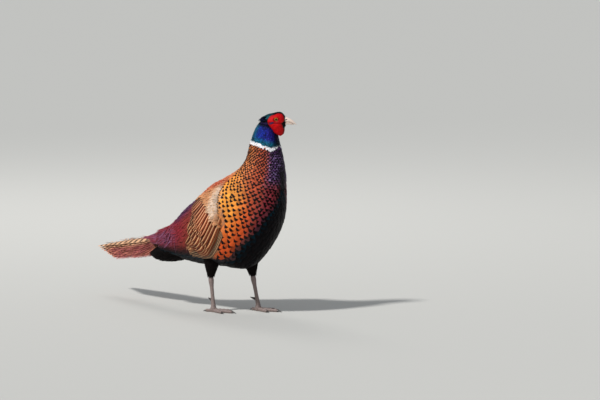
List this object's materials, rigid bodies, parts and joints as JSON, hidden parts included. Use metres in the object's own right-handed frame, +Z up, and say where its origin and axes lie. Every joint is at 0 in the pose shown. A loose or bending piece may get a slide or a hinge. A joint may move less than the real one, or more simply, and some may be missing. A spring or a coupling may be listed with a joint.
{
  "type": "common pheasant cock model",
  "caption": "Life-size still model of a standing common pheasant cock with folded wings, long pointed tail, red face and ear tufts.",
  "frame": {"origin": "middle of the whole bird's box, on the floor under its feet", "axes": "+X the way the bird's body faces, +Y to its left, +Z up"},
  "size_m": [0.5822, 0.2296, 0.4336],
  "materials": {
    "glossy_neck_feathers": "dark blue-green gloss",
    "copper_body_feathers": "satin copper feathers",
    "maroon_rump_feathers": "satin maroon feathers",
    "buff_wing_feathers": "matte buff and brown feathers",
    "barred_tail_feathers": "matte barred feathers",
    "red_face_skin": "matte bare skin",
    "amber_eye": "wet gloss",
    "ivory_bill": "smooth horn",
    "dark_thigh_feathers": "matte feathers",
    "grey_leg_scales": "scaly skin",
    "dark_claw_horn": "smooth horn"
  },
  "bodies": {
    "root": {"head": "glossy_neck_feathers", "neck": "glossy_neck_feathers", "torso": "copper_body_feathers", "rump": "maroon_rump_feathers", "wing_left": "buff_wing_feathers", "wing_right": "buff_wing_feathers", "tail": "barred_tail_feathers", "face_left": "red_face_skin", "face_right": "red_face_skin", "eye_left": "amber_eye", "eye_right": "amber_eye", "bill_upper": "ivory_bill", "bill_lower": "ivory_bill", "thigh_left": "dark_thigh_feathers", "thigh_right": "dark_thigh_feathers", "shank_left": "grey_leg_scales", "shank_right": "grey_leg_scales", "foot_left": "grey_leg_scales", "foot_right": "grey_leg_scales", "spur_left": "dark_claw_horn", "spur_right": "dark_claw_horn", "claw_left_inner": "dark_claw_horn", "claw_left_middle": "dark_claw_horn", "claw_left_outer": "dark_claw_horn", "claw_left_hind": "dark_claw_horn", "claw_right_inner": "dark_claw_horn", "claw_right_middle": "dark_claw_horn", "claw_right_outer": "dark_claw_horn", "claw_right_hind": "dark_claw_horn"}
  },
  "joints": []
}
